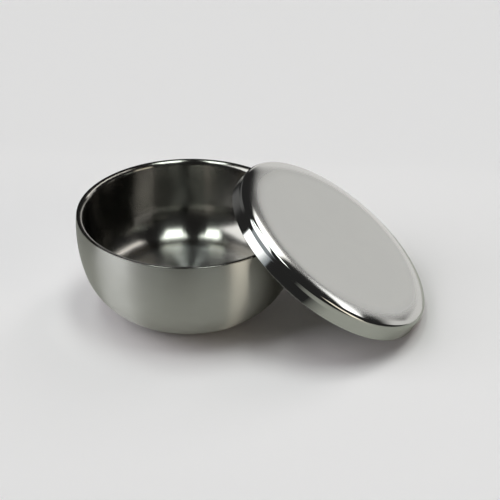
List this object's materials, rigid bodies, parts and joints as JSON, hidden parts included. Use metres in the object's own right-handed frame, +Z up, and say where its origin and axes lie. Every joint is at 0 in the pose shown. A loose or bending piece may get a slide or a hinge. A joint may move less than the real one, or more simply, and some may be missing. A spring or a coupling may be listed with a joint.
{
  "type": "shaving bowl with lid",
  "caption": "Round double-walled stainless steel shaving bowl with a rolled rim and a loose pressed lid leaning against the rim.",
  "frame": {"origin": "centre of the flat base, on the surface the bowl stands on", "axes": "+Z up along the bowl's axis; +X towards the side where the lid leans"},
  "size_m": [0.1659, 0.1078, 0.0676],
  "materials": {
    "brushed_outside": "satin, brushed around the bowl",
    "brushed_inside": "fine spun brushing, polished on the rim",
    "polished_lid": "mirror polish on the skirt and shoulder, soft polish on the top"
  },
  "bodies": {
    "bowl": {"outer_shell": "brushed_outside", "inner_shell": "brushed_inside"},
    "lid": {"lid": "polished_lid"}
  },
  "joints": [
    {"name": "lid_lift", "type": "slide", "parent": "bowl", "child": "lid", "axis": [0, 0, 1], "range_m": [0, 0.08]}
  ]
}
